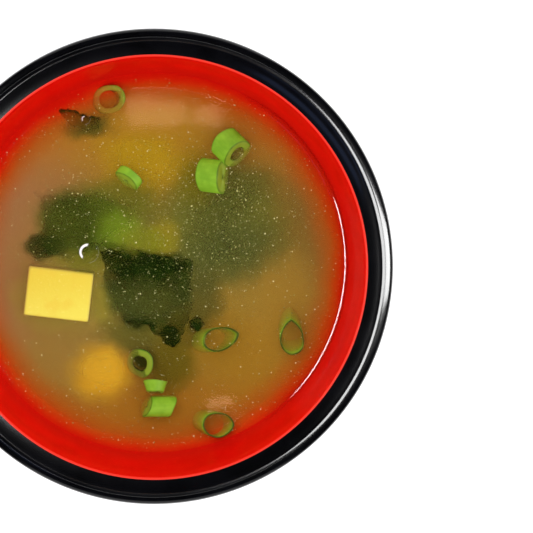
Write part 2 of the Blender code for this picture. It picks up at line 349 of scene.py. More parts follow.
def turned(name, profile, segments=SEGMENTS):
    """A round closed piece, drawn out ring by ring from its middle, as on a wheel."""
    deselect()
    radius, height = profile[1]
    bpy.ops.mesh.primitive_circle_add(
        vertices=segments, radius=radius, location=(0.0, 0.0, height), fill_type="TRIFAN"
    )
    piece = bpy.context.object
    piece.name = piece.data.name = name
    bpy.ops.object.mode_set(mode="EDIT")
    bpy.ops.mesh.select_mode(type="EDGE")
    bpy.ops.mesh.select_non_manifold(extend=False)
    for wider, higher in profile[2:-1]:
        lift = {"value": (0.0, 0.0, higher - height)}
        bpy.ops.mesh.extrude_edges_move(TRANSFORM_OT_translate=lift)
        share = wider / radius
        bpy.ops.transform.resize(value=(share, share, 1.0), center_override=(0.0, 0.0, 0.0))
        radius, height = wider, higher
    lift = {"value": (0.0, 0.0, profile[-1][1] - height)}
    bpy.ops.mesh.extrude_edges_move(TRANSFORM_OT_translate=lift)
    bpy.ops.mesh.merge(type="CENTER")
    return piece


def set_aside(piece, material, sharp=40):
    """Leaves edit mode with the faces pointing out and the place in the mesh, and paints it."""
    bpy.ops.mesh.select_all(action="SELECT")
    bpy.ops.mesh.normals_make_consistent(inside=False)
    bpy.ops.object.mode_set(mode="OBJECT")
    bpy.ops.object.transform_apply()
    bpy.ops.object.shade_smooth_by_angle(angle=math.radians(sharp))
    piece.data.materials.append(material)
    return piece


def rim_profile():
    """From the red edge over the black band, the crest, the groove and the bead to the neck."""
    bead = (BOWL_RADIUS - BEAD_ROUNDING, BEAD_HEIGHT)
    inward = BEAD_CROWN - BEAD_ROUNDING
    shoulder = math.radians(BEAD_SHOULDER)
    crown = (bead[0] - inward * math.cos(shoulder), bead[1] - inward * math.sin(shoulder))
    top = arc((CREST_RADIUS, BOWL_HEIGHT - CREST_INNER), CREST_INNER, 90 + BAND_SLOPES[-1], CREST_TURNS[0], 6)
    for rounding, begin, end, steps in (
        (CREST_CROWN, CREST_TURNS[0], CREST_TURNS[1], 6),
        (CREST_OUTER, CREST_TURNS[1], -5, 6),
    ):
        turn = math.radians(begin)
        centre = (top[-1][0] - rounding * math.cos(turn), top[-1][1] - rounding * math.sin(turn))
        top += arc(centre, rounding, begin, end, steps)[1:]
    points = [(EDGE_RADIUS, EDGE_HEIGHT)]
    step = (top[0][0] - EDGE_RADIUS) / len(BAND_SLOPES)
    rises = [math.tan(math.radians(slope)) * step for slope in BAND_SLOPES]
    stretch = (top[0][1] - EDGE_HEIGHT) / sum(rises)
    for rise in rises[:-1]:
        points.append((points[-1][0] + step, points[-1][1] + rise * stretch))
    points += top
    points += arc(crown, BEAD_CROWN, BEAD_START, BEAD_SHOULDER, 12)
    points += arc(bead, BEAD_ROUNDING, BEAD_SHOULDER, -70, 16)[1:]
    return points


def foot_profile():
    """Down the outside of the foot, across the ring it stands on, and into its recess."""
    inner = FOOT_RADIUS - FOOT_WIDTH
    middle = FOOT_ROUNDING
    top = FOOT_RADIUS - FOOT_FLARE
    points = [(top, 16.5 * MM)]
    points += arc((FOOT_RADIUS - middle, middle), FOOT_ROUNDING, 0, -90, 4)
    points += arc((inner + middle, middle), FOOT_ROUNDING, -90, -180, 4)
    points += [(inner - FOOT_FLARE, FOOT_RECESS), (inner * 0.5, FOOT_RECESS), (0.0, FOOT_RECESS)]
    return points


def black_lacquer():
    material, bench, fill = new_material("black lacquer")
    place, x, y, z = bench.spot()
    cloud = bench.noise(place, 9.0, 4.0)
    dust = bench.noise(place, 0.35, 1.0).within(0.74, 0.80)
    black = bench.mix(srgb("030305"), srgb("06060a"), cloud.within(0.35, 0.65))
    fill(
        Base_Color=bench.mix(black, srgb("26262a"), dust * 0.5),
        Roughness=0.14 + 0.08 * cloud,
        Specular_IOR_Level=0.25,
        Coat_Weight=z.within(52.0, 56.0),
        Coat_Roughness=0.10,
        Coat_IOR=1.35,
        Normal=bench.bump(bench.noise(place, 2.2, 1.0), 0.004 * MM),
    )
    return material


def red_lacquer():
    material, bench, fill = new_material("red lacquer")
    place, x, y, z = bench.spot()
    cloud = bench.noise(place, 7.0, 3.0)
    fine = bench.noise(place, 0.9, 2.0)
    # Painted shade: the wall is darker and a little oranger low down, just over the broth.
    low = z.within(52.0, 47.0)
    red = bench.mix(srgb("e00604"), srgb("d40402"), cloud.within(0.3, 0.7))
    red = bench.mix(red, srgb("c8140a"), low * 0.75)
    # Painted light: the wall is brighter high up, where its flare faces the light.
    red = bench.mix(red, srgb("f40c08"), z.within(54.5, 59.0) * 0.7)
    # Painted highlight: a pale salmon line along the top of the rounded lip.
    red = bench.mix(red, srgb("d86850"), z.within(60.1, 60.5) * 0.25)
    fill(
        Base_Color=bench.mix(red, srgb("ee1a10"), fine.within(0.55, 0.8) * 0.35),
        Roughness=0.14 + 0.12 * fine,
        Specular_IOR_Level=0.12,
        Normal=bench.bump(fine, 0.006 * MM),
    )
    return material


neck = wall_radius(NECK_HEIGHT, WALL)
outer_wall = wall_points(neck, FOOT_RADIUS - FOOT_FLARE, 26, WALL)
inner_wall = wall_points(0.0, EDGE_RADIUS, 20, LINING / 2)
bowl_shell = turned("bowl_shell", inner_wall[:-1] + rim_profile() + outer_wall + foot_profile()[1:])
set_aside(bowl_shell, black_lacquer())
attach(bowl_shell, "root")
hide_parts("bowl")

lip = (
    EDGE_RADIUS + LIP_ROUNDING * math.sin(math.radians(BAND_SLOPES[0])),
    EDGE_HEIGHT + 0.05 * MM - LIP_ROUNDING * math.cos(math.radians(BAND_SLOPES[0])),
)
lining_face = [point for point in wall_points(0.0, EDGE_RADIUS, 40) if point[1] < 59.0 * MM]
lining_lip = arc(lip, LIP_ROUNDING, 168, 90, 10)
lining_back = wall_points(EDGE_RADIUS, 0.0, 12, LINING)
bowl_lining = turned("bowl_lining", lining_face + lining_lip + lining_back[1:])
set_aside(bowl_lining, red_lacquer())
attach(bowl_lining, "root")


# ---------------------------------------------------------------------------------------------
# Broth. Cloudy miso broth, olive brown in the middle and redder where it thins out over the
# lacquer. Its lower part is painted with what glows or darkens in it, and a hazy wet skin of
# broth lies over that, up to the level, where it creeps up the wall.

CREEP_HEIGHT = 1.42 * MM
CREEP_WIDTH = 5.0 * MM
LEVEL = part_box("soup")[1].z - 0.7 * MM
LEVEL_MM = LEVEL / MM
BROTH_DEEPEST = 6.0 * MM
BROTH_SHALLOWEST = 0.5 * MM
SKIN_THICKNESS = 0.12 * MM
INTO_WALL = 0.2 * MM
CLEARNESS = 1.9  # millimetres of broth that hide about two thirds of what lies under them

# Soft clouds in the broth, in millimetres and degrees: the middle, the half width and half
# length, the turn, how soft the edge is, the colour and how strong it is.
CLOUDS = (
    (6, 2, 32, 28, 0, 0.50, "6e6a28", 0.80),  # the deep middle
    (20, -19, 20, 12, -25, 0.55, "a57c24", 0.85),  # clear golden broth
    (27, -5, 14, 10, 0, 0.60, "957a34", 0.75),
    (-22, -22, 14, 13, 0, 0.60, "96803a", 0.60),
    (-2, 29, 17, 12, 0, 0.55, "ad8322", 0.80),
    (-3, 27, 9.5, 7, -8, 0.50, "b08e1a", 0.85),  # bean curd deep down at the back
    (-14, -28, 7.4, 6.4, 10, 0.50, "cc9c24", 0.90),  # bean curd deep down at the front
    (-13.4, -28.2, 5.2, 4.6, 10, 0.50, "dca828", 0.80),
    (34, -13, 9, 13, 0, 0.60, "a67e2c", 0.60),
    (-25, -3, 15, 22, 0, 0.60, "9a7c36", 0.45),
    (16, 10, 16, 13, 10, 0.45, "6a6c2a", 0.85),  # leaf far down on the right
    (19, 18, 11, 7, 25, 0.45, "5c5e26", 0.75),
    (19, 3, 13, 8, 10, 0.50, "505628", 0.75),
    (10, 22, 5, 6, 0, 0.60, "7a7018", 0.70),
    (-19, 10, 11.5, 9, -8, 0.28, "3e5414", 0.85),  # leaf far down on the left
    (-29, 4.5, 4.5, 3.2, -4, 0.40, "343e14", 0.80),
    (-9, 17, 9, 6, 0, 0.50, "5c661c", 0.70),
    (-9.4, 8.8, 5.0, 4.2, 0, 0.70, "7c9424", 0.78),  # a cut end of scallion far down
    (2.2, 7.0, 3.4, 5.0, 0, 0.60, "9c8a20", 0.65),
    (-24.5, -8.0, 12.0, 9.6, -8, 0.25, "a89440", 0.65),  # the glow of the bean curd
    (-13.6, -10.0, 3.6, 6.0, 0, 0.55, "968a32", 0.80),
    (11, -9, 6, 7, 0, 0.50, "4a4e22", 0.80),
    (-18.4, 0.2, 6.5, 2.8, -6, 0.60, "767a20", 0.65),
    (-2.5, 5.8, 6.0, 3.4, 0, 0.50, "7c821e", 0.70),
    (-10.4, 4.2, 3.0, 2.0, 0, 0.50, "3e4a12", 0.70),
    (-6, -18.5, 8, 4.2, -8, 0.50, "5a5a20", 0.75),
    (8, -17.5, 5.5, 4.5, 0, 0.50, "4a4a18", 0.70),
    # Under the broad leaf, where it hangs deeper: this cloud also paints its shadow on the broth.
    (-2.0, -7.2, 11.0, 9.2, 0, 0.20, "424e20", 0.85),  # under the broad leaf
    (-2.2, 0.2, 11.6, 3.2, -5, 0.30, "1c2a0a", 0.85),
    (-4.2, -15.4, 4.6, 1.2, -8, 0.50, "161e06", 0.80),
    (3.8, -18.4, 2.4, 3.0, 25, 0.35, "121a06", 0.90),
    (10.4, -15.6, 1.6, 1.6, 0, 0.40, "10160a", 0.90),
    (4, -26.5, 6, 7, 20, 0.50, "5c5412", 0.80),
    (-2.8, -25.4, 2.8, 3.0, 0, 0.40, "2e340c", 0.90),
    (-18.5, 36.2, 6.5, 3.4, -6, 0.45, "56521c", 0.90),  # under the small leaf
)


def broth_paint():
    """The broth's colour at every spot, as a group that all that lies in the broth shares."""
    tree = bpy.data.node_groups.new("broth paint", "ShaderNodeTree")
    tree.interface.new_socket("Colour", in_out="OUTPUT", socket_type="NodeSocketColor")
    bench = Bench(tree)
    place, x, y, z = bench.spot()
    sway = {"Vector": place, "Scale": 1 / 7.0, "Detail": 2.0}
    sway = bench.node("ShaderNodeTexNoise", None, sway, output=1)
    sway = bench.node("ShaderNodeVectorMath", {"operation": "SUBTRACT"}, {0: sway, 1: (0.5, 0.5, 0.5)})
    sway = bench.node("ShaderNodeVectorMath", {"operation": "SCALE"}, {0: sway, "Scale": 7.0})
    flat = bench.node("ShaderNodeVectorMath", {"operation": "MULTIPLY"}, {0: place, 1: (1.0, 1.0, 0.0)})
    bent = bench.node("ShaderNodeVectorMath", {"operation": "ADD"}, {0: flat, 1: sway})
    bent = bench.node("ShaderNodeVectorMath", {"operation": "MULTIPLY"}, {0: bent, 1: (1.0, 1.0, 0.0)})

    side = bench.mix(srgb("a4724a"), srgb("8d632c"), x.within(-34, 30))
    paint = bench.mix(side, srgb("a26d20"), y.within(-12, -36))
    paint = bench.mix(paint, srgb("ae7628"), y.within(14, 36))
    for middle_x, middle_y, half_x, half_y, turn, soft, colour, strength in CLOUDS:
        settings = {"vector_type": "TEXTURE"}
        inputs = {
            "Vector": bent,
            "Location": (middle_x, middle_y, 0.0),
            "Rotation": (0.0, 0.0, math.radians(turn)),
            "Scale": (half_x, half_y, 1.0),
        }
        away = bench.node("ShaderNodeMapping", settings, inputs)
        away = bench.node("ShaderNodeVectorMath", {"operation": "LENGTH"}, {0: away}, output=1)
        paint = bench.mix(paint, srgb(colour), away.within(1 + soft, 1 - soft) * strength)

    out = bench.node("ShaderNodeVectorMath", {"operation": "LENGTH"}, {0: flat}, output=1)
    patchy = bench.noise(place, 9.0, 2.0)
    out = out - 0.016 * x + 0.012 * y + 2.4 * (patchy - 0.5)
    paint = bench.mix(paint, srgb("b25416"), out.within(39.0, 47.0))
    paint = bench.mix(paint, srgb("c82c0a"), out.within(43.8, 48.6))
    paint = bench.mix(paint, srgb("c61206"), out.within(46.6, 49.6))
    grain = bench.noise(place, 0.45, 3.0, 0.8)
    paint = bench.mix(paint, (1.9, 1.9, 2.2, 1.0), grain.within(0.54, 0.80) * 0.55, "MULTIPLY")
    paint = bench.mix(paint, (0.4, 0.4, 0.4, 1.0), grain.within(0.46, 0.22) * 0.4, "MULTIPLY")
    group_end = tree.nodes.new("NodeGroupOutput")
    tree.links.new(paint.socket, group_end.inputs[0])
    return tree


BROTH_PAINT = broth_paint()


def broth_colour(bench):
    return bench.node("ShaderNodeGroup", {"node_tree": BROTH_PAINT})


def through_broth(bench, own, place, z, edge=None):
    """A sunken piece's own colour, fading into the broth's with depth and towards a soft edge.
    It fades grain by grain, since it is grains of the paste that hide it."""
    seen = ((z - LEVEL_MM) / CLEARNESS).maths("MINIMUM", 0.0).maths("EXPONENT")
    if edge is not None:
        seen = seen * edge
    grit = bench.noise(place, 0.42, 2.0, 0.8) - 0.5
    seen = seen + grit * seen * (1 - seen) * 0.6
    seen = seen.maths("MAXIMUM", 0.0).maths("MINIMUM", 1.0)
    return bench.mix(broth_colour(bench), own, seen)


def blurred_edge(bench, place, softness=1.2, least=0.0):
    """How solid a sunken piece is, from its own edge attribute: it dissolves in grains."""
    edge = bench.node("ShaderNodeAttribute", {"attribute_name": "edge"}, output=2)
    grit = bench.noise(place, 0.42, 2.0, 0.8) - 0.5
    solid = edge.within(least, 1.0)
    return (solid + grit * solid * (1 - solid) * softness).maths("MAXIMUM", 0.0).maths("MINIMUM", 1.0)


def deep_broth():
    material, bench, fill = new_material("deep broth")
    fill(Base_Color=broth_colour(bench), Roughness=0.6, Specular_IOR_Level=0.0)
    return material


def broth_skin():
    material, bench, fill = new_material("broth skin")
    place, x, y, z = bench.spot()
    swell = bench.noise(place, 16.0, 1.0)
    haze = bench.noise(place, 5.0, 3.0)
    out = (x * x + y * y) ** 0.5
    edge = (wall_radius(LEVEL + CREEP_HEIGHT) + INTO_WALL) / MM
    creep = out.within(edge - 1.7, edge - 1.5) * out.within(edge - 0.7, edge - 0.9)
    creep = creep * y.within(-36.0, -30.0) * x.within(20.0, 30.0)
    dull = out.within(edge - 4.8, edge - 4.4) * x.within(34.0, 26.0)
    fill(
        Base_Color=broth_colour(bench),
        Roughness=0.04,
        IOR=1.8,
        Alpha=(0.10 + 0.08 * haze) * (1 - 0.97 * dull) + 0.45 * creep,
        Normal=bench.bump(swell, 0.025 * MM),
    )
    return material


def dish(radius, edge):
    """Height of the deep broth's top, which is a dish that meets the level at the wall."""
    share = min(radius / edge, 1.0)
    return LEVEL - BROTH_SHALLOWEST - (BROTH_DEEPEST - BROTH_SHALLOWEST) * (1 - share**5)


dish_edge = wall_radius(LEVEL - BROTH_SHALLOWEST) + INTO_WALL
dish_face = [(dish_edge * step / 40, dish(dish_edge * step / 40, dish_edge)) for step in range(41)]
dish_back = [
    (radius + INTO_WALL, height - INTO_WALL)
    for radius, height in wall_points(wall_radius(LEVEL - BROTH_SHALLOWEST - MM), 0.0, 24)
]
broth_depth = turned("broth_depth", dish_face + dish_back[:-1] + [(0.0, dish_back[-1][1])])
set_aside(broth_depth, deep_broth())
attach(broth_depth, "root")
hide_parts("soup")

skin_edge = wall_radius(LEVEL + CREEP_HEIGHT) + INTO_WALL
skin_face = [(share * 0.1 * (skin_edge - CREEP_WIDTH), LEVEL) for share in range(10)]
skin_face += [
    (skin_edge - CREEP_WIDTH * (1 - share), LEVEL + CREEP_HEIGHT * share**3)
    for share in [step / 20 for step in range(21)]
]
skin_back = [(radius, height - SKIN_THICKNESS) for radius, height in reversed(skin_face)]
broth_surface = turned("broth_surface", skin_face + skin_back)
set_aside(broth_surface, broth_skin(), sharp=80)
broth_surface.visible_shadow = False
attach(broth_surface, "root")


# ---------------------------------------------------------------------------------------------
# Bean curd. One cube floats with its top at the surface, its corners a little worn. Two more
# lie deep in the broth, where only their glow is seen.

CURD_LOW, CURD_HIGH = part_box("tofu_cube")
CURD_SIZE = (17.0 * MM, 13.0 * MM, 11.5 * MM)
CURD_TURN = -7.0
CURD_ROUNDING = 0.7 * MM


def bean_curd(name, sunken):
    material, bench, fill = new_material(name)
    place, x, y, z = bench.spot()
    edge = bench.node("ShaderNodeAttribute", {"attribute_name": "edge"}, output=2)
    soft = bench.noise(place, 4.5, 2.0)
    fine = bench.noise(place, 0.7, 3.0)
    near = y.within(-2.0, -15.0)
    curd = bench.mix(srgb("dac034"), srgb("e2d24c"), near)
    curd = bench.mix(curd, srgb("dcb830"), soft.within(0.50, 0.75) * 0.45)
    curd = bench.mix(curd, srgb("f2e480"), fine.within(0.60, 0.80) * 0.30)
    if sunken:
        colour = through_broth(bench, curd, place, z)
        fill(Alpha=blurred_edge(bench, place, 0.0))
    else:
        colour = through_broth(bench, curd, place, z, edge.within(-0.1, 1.0))
    fill(
        Base_Color=colour,
        Roughness=0.5,
        Specular_IOR_Level=0.0 if sunken else 0.12,
        Normal=bench.bump(fine, 0.04 * MM),
    )
    return material


def curd_block(name, size, turn, top, blurs):
    """A cut block with worn edges, whose top face's middle is at top. Blurs says how far in the
    broth softens it from its left, right, near and far sides."""
    deselect()
    bpy.ops.mesh.primitive_cube_add(size=1.0, location=(0.0, 0.0, -size[2] / 2), scale=size)
    piece = bpy.context.object
    piece.name = piece.data.name = name
    bpy.ops.object.transform_apply()
    bpy.ops.object.mode_set(mode="EDIT")
    bpy.ops.mesh.bevel(offset=CURD_ROUNDING, segments=4, profile=0.6)
    bpy.ops.mesh.subdivide(number_cuts=9)
    bpy.ops.mesh.vertices_smooth(factor=0.3, repeat=2)
    bpy.ops.object.mode_set(mode="OBJECT")
    edge = piece.data.attributes.new("edge", "FLOAT", "POINT")
    left, right, near, far = blurs
    for point, value in zip(piece.data.vertices, edge.data):
        x, y, z = point.co
        ways = [(x + size[0] / 2) / left, (size[0] / 2 - x) / right]
        ways += [(y + size[1] / 2) / near, (size[1] / 2 - y) / far]
        if z > -CURD_ROUNDING:
            value.value = math.prod(math.sin(max(0.0, min(1.0, way)) * math.pi / 2) for way in ways)
    piece.rotation_euler.z = math.radians(turn)
    piece.location = top
    bpy.ops.object.mode_set(mode="EDIT")
    return piece


CURD = bean_curd("bean curd", sunken=False)
CURD_SUNKEN = bean_curd("bean curd in the broth", sunken=True)
curd_middle = (CURD_LOW + CURD_HIGH) / 2
curd_top = (curd_middle.x - 0.3 * MM, curd_middle.y + 0.15 * MM, CURD_HIGH.z)
curd_blurs = (1.1 * MM, 0.9 * MM, 0.8 * MM, 1.3 * MM)
tofu_floating = curd_block("tofu_floating", CURD_SIZE, CURD_TURN, curd_top, curd_blurs)
set_aside(tofu_floating, CURD)
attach(tofu_floating, "root")
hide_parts("tofu_cube")
for name, size, turn, top in (
    ("tofu_sunken_front", (14, 12, 8), 12, (-14.0, -28.2, -5.0)),
    ("tofu_sunken_back", (17, 12, 8), -8, (-2.9, 27.4, -5.2)),
):
    size = [side * MM for side in size]
    top = (top[0] * MM, top[1] * MM, LEVEL + top[2] * MM)
    piece = curd_block(name, size, turn, top, [5.5 * MM] * 4)
    set_aside(piece, CURD_SUNKEN)
    piece.visible_shadow = False
    piece.visible_diffuse = False
    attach(piece, "root")


# ---------------------------------------------------------------------------------------------
# Wakame. Thin torn sheets of soaked seaweed. One broad leaf and a small one lie at the surface,
# a scrap floats beside them, and two more leaves lie in the broth, where it blurs them.

LEAF_THICKNESS = 0.35 * MM
LEAF_CELL = 0.55 * MM
LEAF_THIN = 0.5 * MM  # it thins out this near its edge
TEAR = 0.16 * MM


def wakame():
    material, bench, fill = new_material("wakame leaf")
    place, x, y, z = bench.spot()
    cloud = bench.noise(place, 3.0, 3.0)
    veins = bench.noise(place, 0.8, 4.0)
    leaf = bench.mix(srgb("101a05"), srgb("1c2c08"), cloud.within(0.38, 0.66))
    leaf = bench.mix(leaf, srgb("303e0e"), veins.within(0.56, 0.78) * 0.15)
    out_of_broth = z.within(LEVEL_MM - 0.02, LEVEL_MM + 0.12)
    fill(
        Base_Color=through_broth(bench, leaf, place, z),
        Alpha=blurred_edge(bench, place),
        Roughness=0.5,
        Specular_IOR_Level=0.0,
        Coat_Weight=out_of_broth * 0.06,
        Coat_Roughness=0.12,
        Coat_IOR=1.35,
        Normal=bench.bump(veins + cloud * 0.6, 0.10 * MM),
    )
    return material


def shortest_ways(spots, line):
    """How far each spot is from a line through points, all in plan."""
    start, along = line[:-1], line[1:] - line[:-1]
    share = ((spots[:, None] - start) * along).sum(axis=2) / (along**2).sum(axis=1)
    nearest = start + share.clip(0.0, 1.0)[..., None] * along
    return np.linalg.norm(spots[:, None] - nearest, axis=2).min(axis=1)


def leaf(name, outline, lie, blur, seed):
    """A torn sheet. The outline is in millimetres in plan, and lie(x, y) gives the height over
    the level in millimetres. Blur(x, y) is how far in from its edge the broth softens its top,
    and its underside is left clear."""
    deselect()
    bpy.ops.mesh.primitive_circle_add(vertices=len(outline), fill_type="NOTHING")
    piece = bpy.context.object
    piece.name = piece.data.name = name
    for point, (x, y) in zip(piece.data.vertices, outline):
        point.co = (x * MM, y * MM, 0.0)
    bpy.ops.object.mode_set(mode="EDIT")
    bpy.ops.mesh.subdivide(number_cuts=5, smoothness=0.9)
    bpy.ops.mesh.select_all(action="SELECT")
    bpy.ops.transform.vertex_random(offset=TEAR, seed=seed)
    bpy.ops.object.mode_set(mode="OBJECT")
    links = {}
    for edge in piece.data.edges:
        for here, there in (edge.vertices, reversed(edge.vertices)):
            links.setdefault(here, []).append(there)
    order = [0]
    while len(order) < len(links):
        order.append(next(v for v in links[order[-1]] if v not in order[-2:]))
    border = np.array([piece.data.vertices[index].co.xy for index in order + [0]])
    bpy.ops.object.mode_set(mode="EDIT")
    bpy.ops.mesh.fill(use_beauty=True)
    for across, along in ((0, (1.0, 0.0, 0.0)), (1, (0.0, 1.0, 0.0))):
        start, stop = border[:, across].min(), border[:, across].max()
        for cut in np.arange(start + LEAF_CELL / 2, stop, LEAF_CELL):
            bpy.ops.mesh.select_all(action="SELECT")
            place = [cut * share for share in along]
            bpy.ops.mesh.bisect(plane_co=place, plane_no=along, threshold=0.001 * MM)
    bpy.ops.object.mode_set(mode="OBJECT")
    ways = shortest_ways(np.array([point.co.xy for point in piece.data.vertices]), border)
    body = piece.vertex_groups.new(name="body")
    for point, way in zip(piece.data.vertices, ways):
        point.co.z = LEVEL + lie(point.co.x / MM, point.co.y / MM) * MM
        body.add([point.index], min(1.0, way / LEAF_THIN), "REPLACE")
    thicken = piece.modifiers.new("thickness", "SOLIDIFY")
    thicken.thickness = LEAF_THICKNESS
    thicken.offset = 0.0
    thicken.vertex_group = "body"
    thicken.thickness_vertex_group = 0.1
    bpy.ops.object.modifier_apply(modifier=thicken.name)
    ways = shortest_ways(np.array([point.co.xy for point in piece.data.vertices]), border)
    edge = piece.data.attributes.new("edge", "FLOAT", "POINT")
    for point, value, way in zip(piece.data.vertices, edge.data, ways):
        x, y, z = point.co / MM
        if z > LEVEL_MM + lie(x, y):
            value.value = min(1.0, way / (blur(x, y) * MM))
    bpy.ops.object.mode_set(mode="EDIT")
    return piece


def hump(value, middle, width):
    return math.exp(-(((value - middle) / width) ** 2))


def broad_leaf(x, y):
    """It lies just under the surface, hangs lower in its middle, and its torn lower edge curls
    up to the air again."""
    hang = 1.9 * hump(x, -2.0, 10.5) * hump(y, -10.2, 4.0) + 0.5 * hump(x, -12.0, 3.0) * hump(y, -10.0, 5.0)
    hang += 0.45 * hump(x, 10.0, 2.6) * hump(y, -8.0, 6.0)
    rim = shortest_ways(np.array([[x, y]]), BROAD_LIP)[0]
    lip = hump(rim, 0.0, 1.2) + 1.0 * hump(x, 4.2, 3.8) * hump(y, -19.4, 3.8)
    ripple = 0.05 * math.sin(0.8 * x + 0.5 * y) + 0.04 * math.sin(1.7 * y - 0.6 * x)
    return (-0.36 - hang + ripple) * max(0.0, 1 - lip) - 0.20 * min(1.0, lip)


def broad_blur(x, y):
    left = 2.2 * hump(x, -12.8, 3.0) * hump(y, -8.0, 4.0) + 3.0 * hump(x, -11.0, 3.2) * hump(y, -13.0, 3.6)
    return 0.2 + left + 1.4 * hump(x, 10.0, 3.0) * hump(y, -8.0, 4.5)


def small_leaf(x, y):
    """Its upper edge breaks the surface, and its blade hangs down under it."""
    edge = 39.0 - 1.05 * math.tanh((x + 19.3) / 2.2)
    return 0.0 - 0.55 * max(0.0, edge - y) + 0.05 * math.sin(1.6 * x)


def small_blur(x, y):
    return 0.2 + 3.8 * hump(y, 32.0, 4.0)


def scrap_leaf(x, y):
    return -0.20 - 0.05 * (x - 10.6) ** 2


def scrap_blur(x, y):
    return 0.5


def left_leaf(x, y):
    fold = 0.25 * math.sin(0.45 * x + 0.3 * y) + 0.15 * math.sin(0.9 * y)
    return -1.30 + fold + 0.70 * hump(x, -30, 5) * hump(y, 5, 4) - 1.8 * hump(x, -7, 8)


def left_blur(x, y):
    return 1.6 + 3.0 * hump(x, -4.0, 9.0) + 1.0 * hump(y, 19.0, 4.0)


def right_leaf(x, y):
    return -3.0 + 0.3 * math.sin(0.4 * x) + 0.2 * math.sin(0.5 * y)


def right_blur(x, y):
    return 7.0


WAKAME = wakame()
BROAD_OUTLINE = (
    (-14.4, 3.6), (-12.6, 3.9), (-9.0, 3.8), (-5.9, 3.5), (-1.2, 2.6), (1.4, 2.2),
    (4.5, 1.7), (9.7, 0.7), (9.4, -4.0), (9.8, -8.1), (9.5, -12.3), (8.1, -15.4),
    (7.0, -18.4), (6.2, -20.4), (4.7, -21.7), (2.8, -21.1), (0.4, -18.6), (-2.8, -15.7),
    (-5.4, -15.0), (-8.0, -15.7), (-11.1, -13.3), (-12.4, -8.7), (-13.8, -3.8), (-13.2, -0.4),
    (-13.9, 1.7),
)  # fmt: skip
BROAD_LIP = np.array(BROAD_OUTLINE[14:20])
SMALL_OUTLINE = (
    (-24.6, 40.1), (-22.4, 40.3), (-20.6, 39.9), (-18.6, 39.0), (-16.5, 38.4), (-14.2, 38.3),
    (-13.4, 37.4), (-13.4, 34.6), (-17.6, 32.8), (-21.6, 34.2), (-24.2, 37.4),
)  # fmt: skip
SCRAP_OUTLINE = ((8.6, -14.4), (10.2, -13.4), (12.0, -13.6), (12.8, -16.0), (11.0, -17.8), (8.4, -16.6))
LEFT_OUTLINE = (
    (-31.8, 19.0), (-28.0, 19.8), (-24.0, 18.8), (-17.0, 20.0), (-10.0, 18.8), (-5.4, 18.2),
    (-2.6, 13.0), (-5.4, 8.0), (-12.4, 4.4), (-17.4, 3.0), (-20.6, 1.0), (-27.0, 0.6),
    (-31.8, 1.2), (-33.6, 3.4), (-34.0, 6.4), (-33.0, 7.8), (-29.8, 9.2), (-29.2, 12.4), (-30.4, 15.8),
)  # fmt: skip
RIGHT_OUTLINE = (
    (7.0, 16.0), (14.0, 21.0), (22.0, 24.0), (28.0, 20.0), (27.0, 13.0), (22.0, 9.0),
    (26.0, 3.0), (20.0, -3.0), (12.0, -1.0), (6.0, 6.0),
)  # fmt: skip
for name, outline, lie, blur, seed, node in (
    ("wakame_broad_leaf", BROAD_OUTLINE, broad_leaf, broad_blur, 3, "wakame_sheet"),
    ("wakame_small_leaf", SMALL_OUTLINE, small_leaf, small_blur, 5, "wakame_curl"),
    ("wakame_torn_scrap", SCRAP_OUTLINE, scrap_leaf, scrap_blur, 7, "wakame_scrap"),
    ("wakame_sunken_left", LEFT_OUTLINE, left_leaf, left_blur, 11, None),
    ("wakame_sunken_right", RIGHT_OUTLINE, right_leaf, right_blur, 13, None),
):
    piece = leaf(name, outline, lie, blur, seed)
    set_aside(piece, WAKAME, sharp=60)
    piece.visible_shadow = False
    piece.visible_diffuse = False
    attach(piece, "root")
    if node:
        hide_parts(node)


# ---------------------------------------------------------------------------------------------
# Scallion. Fresh rings and short lengths sliced, mostly on the bias, from hollow green leaves.
# They float upright or on their sides, with a smooth skin and a paler cut wall. Thin rings are
# cut from the leaf's tip, where the wall is no thicker than paper.

# Sizes in millimetres and angles in degrees. A leaf's axis leans towards a bearing, and a slant
# shifts its rings sideways towards a bearing, by a share of how far up they are.
SCALLIONS = {
    "scallion_a": dict(size=(8.8, 7.4), wall=1.5, length=1.8, turn=25, lean=(15, 205), slant=(0.75, 10), crease=0.10),
    "scallion_b": dict(size=(6.8, 3.3), wall=2.2, length=1.7, turn=322, lean=(45, 232), slant=(0.8, 232)),
    "scallion_c": dict(size=(8.2, 5.8), wall=1.7, length=3.5, turn=45, lean=(38, 315), slant=(1.0, 315)),
    "scallion_d": dict(size=(8.4, 4.7), wall=3.0, length=4.2, turn=87, lean=(45, 357), slant=(0.85, 350)),
    "scallion_e": dict(size=(8.5, 6.3), wall=0.45, length=3.2, turn=17, lean=(2, 180), slant=(1.0, 10), point=0.24),
    "scallion_f": dict(size=(7.6, 6.2), wall=0.32, length=3.2, turn=92, lean=(2, 90), slant=(1.0, 275), point=0.42),
    "scallion_g": dict(size=(7.8, 6.6), wall=0.32, length=3.0, turn=5, lean=(2, 0), slant=(0.9, 350), point=0.08),
    "scallion_h": dict(size=(8.0, 7.4), wall=1.8, length=3.2, turn=60, lean=(27, 195), slant=(0.5, 20), crease=0.12),
    "scallion_i": dict(size=(6.6, 4.6), wall=1.1, length=2.9, turn=358, lean=(70, 268), taper=0.66),
    "scallion_j": dict(size=(6.0, 5.2), wall=2.5, length=5.4, turn=66, lean=(66, 156), slant=(0.62, 205)),
}
SCALLION_SHIFTS = {
    "scallion_a": (1.6, 1.0, -0.9),
    "scallion_e": (0.2, 0.5, 0.0),
    "scallion_h": (1.8, 0.4, -0.1),
}
SCALLION_SIDES = 72


